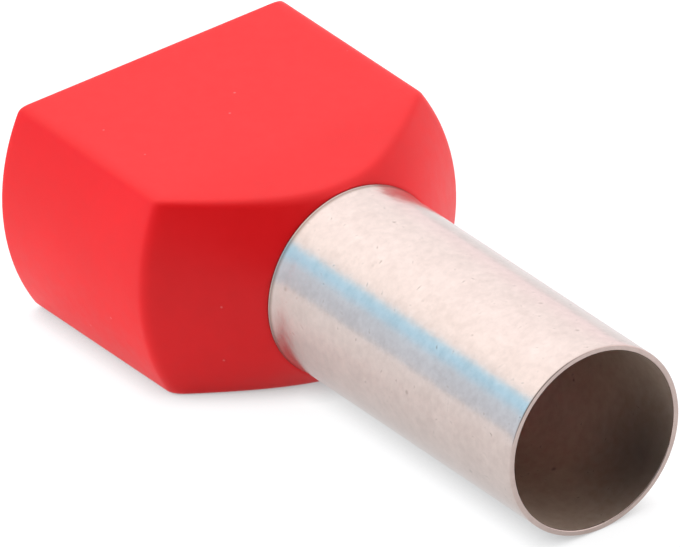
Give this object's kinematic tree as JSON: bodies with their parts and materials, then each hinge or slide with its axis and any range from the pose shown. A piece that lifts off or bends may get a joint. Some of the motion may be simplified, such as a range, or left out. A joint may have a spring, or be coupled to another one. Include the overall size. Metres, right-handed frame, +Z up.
{
  "type": "twin wire ferrule",
  "caption": "Wire-end ferrule with a thin tinned metal sleeve and a flat-oval plastic collar that funnels insulated wires into it for crimping.",
  "frame": {"origin": "on the sleeve's axis, in the plane where the sleeve leaves the collar", "axes": "+X along the sleeve, towards its open mouth; +Z up, square to the collar's flats; Y across the collar's width"},
  "size_m": [0.0255, 0.013, 0.0078],
  "materials": {
    "collar_plastic": "satin moulded polypropylene",
    "tinned_copper": "satin tin plate with a fine drawn grain"
  },
  "bodies": {
    "root": {"insulating_collar": "collar_plastic", "crimp_sleeve": "tinned_copper"}
  },
  "joints": []
}
